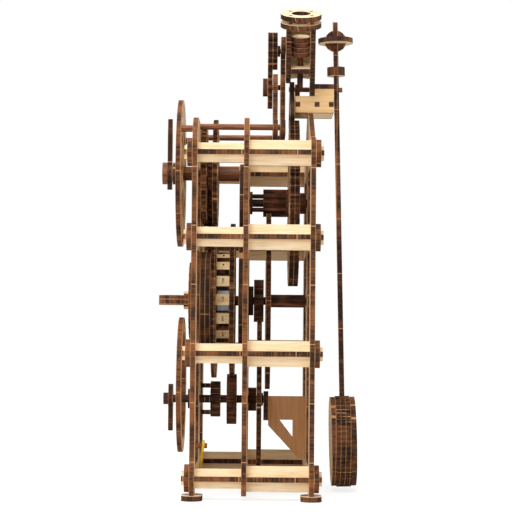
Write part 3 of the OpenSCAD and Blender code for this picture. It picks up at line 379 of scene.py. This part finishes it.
# Rubber band and its pegs: a yellow moulded band, looped on two short sticks at the lower left. Rubber is
# matt, with a soft broad sheen and a dusting of wood dust.
dress(beech_dowel("peg_beech"), "band_pegs")
rubber, band_tree = blank_material("yellow_rubber")
dust_specks_per_m = 900
dust_height = 0.1 * MM
band_place = add(band_tree, "ShaderNodeTexCoord")
dust = add(band_tree, "ShaderNodeTexNoise", {"Vector": band_place.outputs["Object"],
                                             "Scale": dust_specks_per_m, "Detail": 3})
dusted = add(band_tree, "ShaderNodeValToRGB", {"Fac": dust.outputs["Fac"]})
dusty, clean = dusted.color_ramp.elements
dusty.position, dusty.color = 0.35, linear("#C99A14")
clean.position, clean.color = 0.6, linear("#EAC41C")
skin = add(band_tree, "ShaderNodeBump", {"Height": dust.outputs["Fac"], "Strength": 0.2,
                                         "Distance": dust_height})
band_skin = add(band_tree, "ShaderNodeBsdfPrincipled", {"Base Color": dusted.outputs["Color"],
                                                        "Roughness": 0.6, "IOR": 1.52,
                                                        "Normal": skin.outputs[0]})
add(band_tree, "ShaderNodeOutputMaterial", {"Surface": band_skin.outputs[0]})
dress(rubber, "yellow_band")


# Winding: a plywood key on a dowel arbor, with a ratchet wheel in front of the front plate and a click that
# turns on a post and drops into its teeth.
dress(beech_dowel("winding_beech", side="#7A4A2E"), "winding_arbor", "click_post")
dress(laser_cut_birch("key_birch", across_z, sheet_faces("winding_key", axis=2, count=2), grain=across_y),
      "winding_key")
for wheel in ("ratchet_wheel", "click"):
    dress(laser_cut_birch(wheel + "_birch", across_y, sheet_faces(wheel), char=0.5), wheel)


# Spring barrel: a toothed great wheel, a drum of slats, and a front cap of two plies with the toothed
# wheel that turns the dial's wheel, all glued to a cage that holds the wound spring. The slats show their
# pale faces all round.
barrel_low, barrel_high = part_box("great_wheel")
barrel_middle = [(a + b) / 2 / MM for a, b in zip(barrel_low, barrel_high)]
dress(laser_cut_birch("great_wheel_birch", across_y, sheet_faces("great_wheel"), char=0.85), "great_wheel")
dress(laser_cut_birch("slat_birch", around=(barrel_middle, across_y), grain=across_y, face="#F2D9AC",
                      char=0.5), "barrel_drum")
dress(laser_cut_birch("barrel_cap_birch", across_y, sheet_faces("barrel_caps", count=3), char=0.8),
      "barrel_caps")


# Mainspring: a coiled strip of spring steel, held inside the barrel. Rolled steel shows a soft grey shine
# with fine lines along the strip.
steel, spring_tree = blank_material("rolled_spring_steel")
rolling_lines_per_m = (60, 4000, 60)
spring_place = add(spring_tree, "ShaderNodeTexCoord")
rolled = add(spring_tree, "ShaderNodeVectorMath", {0: spring_place.outputs["Object"],
                                                   1: rolling_lines_per_m}, operation="MULTIPLY")
lines = add(spring_tree, "ShaderNodeTexNoise", {"Vector": rolled.outputs[0], "Scale": 1, "Detail": 3})
polish = add(spring_tree, "ShaderNodeMapRange", {"Value": lines.outputs["Fac"], "To Min": 0.28,
                                                 "To Max": 0.45})
strip = add(spring_tree, "ShaderNodeBsdfPrincipled", {"Base Color": linear("#8E9196"), "Metallic": 1.0,
                                                      "Roughness": polish.outputs[0]})
add(spring_tree, "ShaderNodeOutputMaterial", {"Surface": strip.outputs[0]})
dress(steel, "mainspring")


# Going train: spoked plywood wheels on dowel arbors, with pinions of two plies and cages of thin rods. The
# teeth are so narrow that hardly any of their edge escapes the laser's soot.
dress(beech_dowel("arbor_beech", side="#7A4A2E"), "pivot_arbor", "minute_arbor")
for arbor in ("third_arbor", "second_arbor", "escape_arbor"):
    dress(laser_cut_birch(arbor + "_birch", across_y, edge="#7C492D", char=0.7), arbor)
for wheel in ("third_wheel", "second_wheel", "dial_wheel", "motion_wheel"):
    dress(laser_cut_birch(wheel + "_birch", across_y, sheet_faces(wheel), char=0.8), wheel)
for wheel in ("third_gear", "escape_wheels"):
    dress(laser_cut_birch(wheel + "_birch", across_y, sheet_faces(wheel, count=2), char=0.85), wheel)


# Hands: two-armed plywood pointers pressed on their pipes in front of the dial and the lower ring. They
# are cut narrow and charred nearly black round their outlines.
for hand in ("minute_hand", "hour_hand", "lower_hand"):
    dress(laser_cut_birch(hand + "_birch", across_y, sheet_faces(hand), face="#A97748", edge="#6A3E28",
                          char=0.8), hand)
dress(laser_cut_birch("hour_wheel_birch", across_y, sheet_faces("hour_wheel")), "hour_wheel")


# Pallets: an anchor of plywood on the pendulum's arbor, over the escape wheel. Its arms are cut narrow
# and well charred.
dress(laser_cut_birch("pallet_birch", across_y, sheet_faces("pallet_anchor"), edge="#70422A", char=0.75),
      "pallet_anchor")


# Pendulum: a long plywood rod, a bob of five plies with two toothed ones, and above the pivot a flat disc
# with half-round domes through it and a small disc. The discs slide on the rod to set the beat.
dress(laser_cut_birch("rod_birch", across_y, sheet_faces("pendulum_rod"), edge="#7C492D", char=0.65),
      "pendulum_rod")
for layer in ("bob_faces", "bob_core"):
    dress(laser_cut_birch(layer + "_birch", across_y, sheet_faces(layer, count=4), char=0.55), layer)
for disc in ("top_disc", "small_disc"):
    dress(laser_cut_birch(disc + "_birch", across_z, grain=across_x, char=0.6), disc)


# Engine gears and piston: two small plywood pinions that turn with each other, and a piston with its rod
# that slides in the leaning cylinder.
for gear in ("engine_drive", "engine_cam"):
    dress(laser_cut_birch(gear + "_birch", across_y, sheet_faces(gear, count=2), edge="#70422A",
                          char=0.75), gear)
dress(laser_cut_birch("piston_birch", cylinder_axis, grain=cylinder_axis, edge="#7C492D", char=0.65),
      "piston")


# Table and backdrop: matt white studio paper. The camera sees it a little brighter than its own colour, so
# that it stays white and still takes the clock's shadow.
paper, paper_tree = blank_material("studio_paper")
white = linear("#FFFFFF")
paper_grey = (0.80, 0.80, 0.80, 1)
seen_grey = (0.35, 0.35, 0.35, 1)
seen_glow = 0.80
rays = add(paper_tree, "ShaderNodeLightPath")
matt = add(paper_tree, "ShaderNodeBsdfDiffuse", {"Color": paper_grey})
dim = add(paper_tree, "ShaderNodeBsdfDiffuse", {"Color": seen_grey})
glow = add(paper_tree, "ShaderNodeEmission", {"Color": white, "Strength": seen_glow})
lit = add(paper_tree, "ShaderNodeAddShader", {0: dim.outputs[0], 1: glow.outputs[0]})
seen = add(paper_tree, "ShaderNodeMixShader", {0: rays.outputs["Is Camera Ray"], 1: matt.outputs[0],
                                               2: lit.outputs[0]})
add(paper_tree, "ShaderNodeOutputMaterial", {"Surface": seen.outputs[0]})
reach = 6
corners = [(-reach, -reach, 0), (reach, -reach, 0), (reach, reach, 0), (-reach, reach, 0)]
floor_mesh = bpy.data.meshes.new("floor")
floor_mesh.from_pydata(corners, [], [(0, 1, 2, 3)])
floor = bpy.data.objects.new("floor", floor_mesh)
floor_mesh.materials.append(paper)
bpy.context.scene.collection.objects.link(floor)

# The room around the table is white where it is seen, mirrored or seen through, and dimmer as a light.
world = bpy.data.worlds.new("studio")
bpy.context.scene.world = world
world.use_nodes = True
sky = world.node_tree
sky.nodes.clear()
sky_rays = add(sky, "ShaderNodeLightPath")
seen_or_mirrored = add(sky, "ShaderNodeMath", {0: sky_rays.outputs["Is Camera Ray"],
                                               1: sky_rays.outputs["Is Glossy Ray"]}, operation="MAXIMUM")
clear_through = add(sky, "ShaderNodeMath", {0: seen_or_mirrored.outputs[0],
                                            1: sky_rays.outputs["Is Transmission Ray"]}, operation="MAXIMUM")
fill = add(sky, "ShaderNodeBackground", {"Color": white, "Strength": 0.6})
backdrop = add(sky, "ShaderNodeBackground", {"Color": white, "Strength": 1})
both = add(sky, "ShaderNodeMixShader", {0: clear_through.outputs[0], 1: fill.outputs[0],
                                        2: backdrop.outputs[0]})
add(sky, "ShaderNodeOutputWorld", {"Surface": both.outputs[0]})


# Lamps: two broad soft boxes, a key above and to the dial's side, and a weak one level with the clock,
# which opens the shadows on the side that the camera sees.
lamp_aim = Vector((0, 0, 0.15))


def softbox(name, place, size, watts):
    lamp = bpy.data.lights.new(name, "AREA")
    lamp.shape, lamp.size, lamp.energy = "DISK", size, watts
    made = bpy.data.objects.new(name, lamp)
    made.location = place
    made.rotation_euler = (lamp_aim - Vector(place)).to_track_quat("-Z", "Y").to_euler()
    bpy.context.scene.collection.objects.link(made)


softbox("key", place=(0.55, -0.15, 1.15), size=0.5, watts=9)
softbox("side_fill", place=(1.3, -0.5, 0.4), size=0.8, watts=5)

bpy.context.scene.view_settings.view_transform = "Standard"
